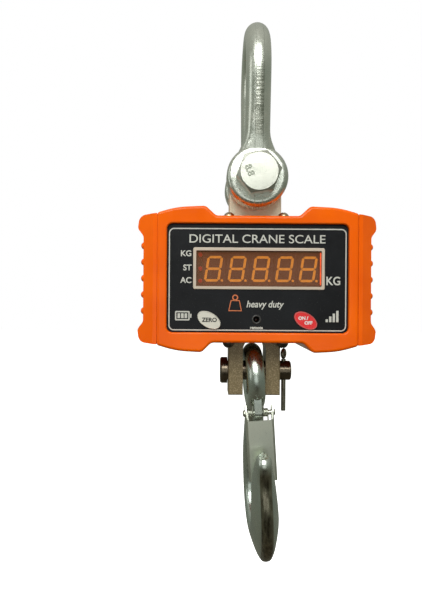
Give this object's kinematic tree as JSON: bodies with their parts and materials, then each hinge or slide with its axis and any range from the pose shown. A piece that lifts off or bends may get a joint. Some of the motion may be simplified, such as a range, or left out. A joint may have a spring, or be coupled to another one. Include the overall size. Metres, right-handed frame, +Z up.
{
  "type": "crane scale",
  "caption": "Hanging digital crane scale with a bow shackle above, a latched swinging hook below and an orange housing with a lit digit display.",
  "frame": {"origin": "the point inside the top of the shackle's bow on which the scale hangs", "axes": "+Z up along the line of load, X across the display, the display faces -Y"},
  "size_m": [0.1846, 0.1138, 0.438],
  "materials": {
    "zinc_steel": "bright zinc plating on forged steel, slightly rough",
    "dark_steel": "turned steel pin, dulled",
    "screw_steel": "plated screws and pressed brackets",
    "block_paint": "beige hammered paint over steel",
    "orange_plastic": "glossy orange moulded plastic with a fine grain",
    "black_panel": "satin black printed panel",
    "black_plastic": "matt black plastic",
    "pale_plastic": "cream plastic",
    "red_plastic": "red plastic",
    "amber_window": "smoked red-brown window",
    "board_green": "green circuit board",
    "black_rubber": "soft black rubber",
    "battery_wrap": "blue shrink wrap",
    "plate_aluminium": "satin aluminium",
    "gauge_foil": "amber foil gauge"
  },
  "bodies": {
    "shackle": {"shackle_bow": "zinc_steel", "shackle_bolt": "zinc_steel", "shackle_washer": "zinc_steel", "shackle_nut": "zinc_steel", "shackle_cotter": "zinc_steel"},
    "scale_body": {"load_cell": "block_paint", "strain_gauges": "gauge_foil", "gauge_covers": "plate_aluminium", "front_cover": "orange_plastic", "rear_cover": "orange_plastic", "cover_gasket": "black_rubber", "cover_screws": "screw_steel", "left_grip": "orange_plastic", "right_grip": "orange_plastic", "grip_screws": "screw_steel", "block_seals": "black_rubber", "front_bracket": "screw_steel", "rear_bracket": "screw_steel", "bracket_screws": "screw_steel", "top_screws": "screw_steel", "bottom_screws": "screw_steel", "wall_washers": "screw_steel", "face_panel": "black_panel", "display_bezel": "pale_plastic", "display_window": "amber_window", "digit_modules": "black_plastic", "indicator_leds": "red_plastic", "display_board": "board_green", "display_components": "black_plastic", "button_switches": "black_plastic", "ir_receiver": "black_plastic", "board_screws": "screw_steel", "main_board": "board_green", "main_components": "black_plastic", "battery_tray": "black_panel", "battery": "battery_wrap", "battery_pad": "black_rubber", "battery_door": "orange_plastic", "door_screws": "screw_steel", "charge_socket": "screw_steel", "socket_cap": "black_rubber", "rating_plate": "plate_aluminium", "sensor_lead": "black_rubber", "battery_lead": "black_rubber", "display_lead": "black_rubber"},
    "zero_key": {"zero_button": "pale_plastic"},
    "power_key": {"power_button": "red_plastic"},
    "hook_pin": {"hook_pin": "dark_steel", "split_pin": "dark_steel"},
    "hook": {"hook": "zinc_steel"},
    "latch": {"latch": "zinc_steel", "latch_rivet": "zinc_steel", "latch_spring": "zinc_steel"}
  },
  "joints": [
    {"name": "body_swing", "type": "hinge", "parent": "shackle", "child": "scale_body", "pos_m": [0, 0, -0.1105], "axis": [0, 1, 0], "range_deg": [-100, 100]},
    {"name": "hook_swing", "type": "hinge", "parent": "scale_body", "child": "hook", "pos_m": [0, 0, -0.2652], "axis": [1, 0, 0], "range_deg": [-72, 72]},
    {"name": "pin_turn", "type": "hinge", "parent": "scale_body", "child": "hook_pin", "pos_m": [0, 0, -0.2652], "axis": [1, 0, 0], "range_deg": [-128, 128]},
    {"name": "latch_turn", "type": "hinge", "parent": "hook", "child": "latch", "pos_m": [0.00246, -0.01899, -0.29691], "axis": [0.9976, 0.0349, 0.0593], "range_deg": [0, 48], "stiffness_Nm_per_rad": 0.04, "springref_deg": -28.65},
    {"name": "zero_press", "type": "slide", "parent": "scale_body", "child": "zero_key", "axis": [0, 1, 0], "range_m": [0, 0.0008], "stiffness_N_per_m": 900, "springref_m": -0.0006},
    {"name": "power_press", "type": "slide", "parent": "scale_body", "child": "power_key", "axis": [0, 1, 0], "range_m": [0, 0.0008], "stiffness_N_per_m": 900, "springref_m": -0.0006}
  ]
}
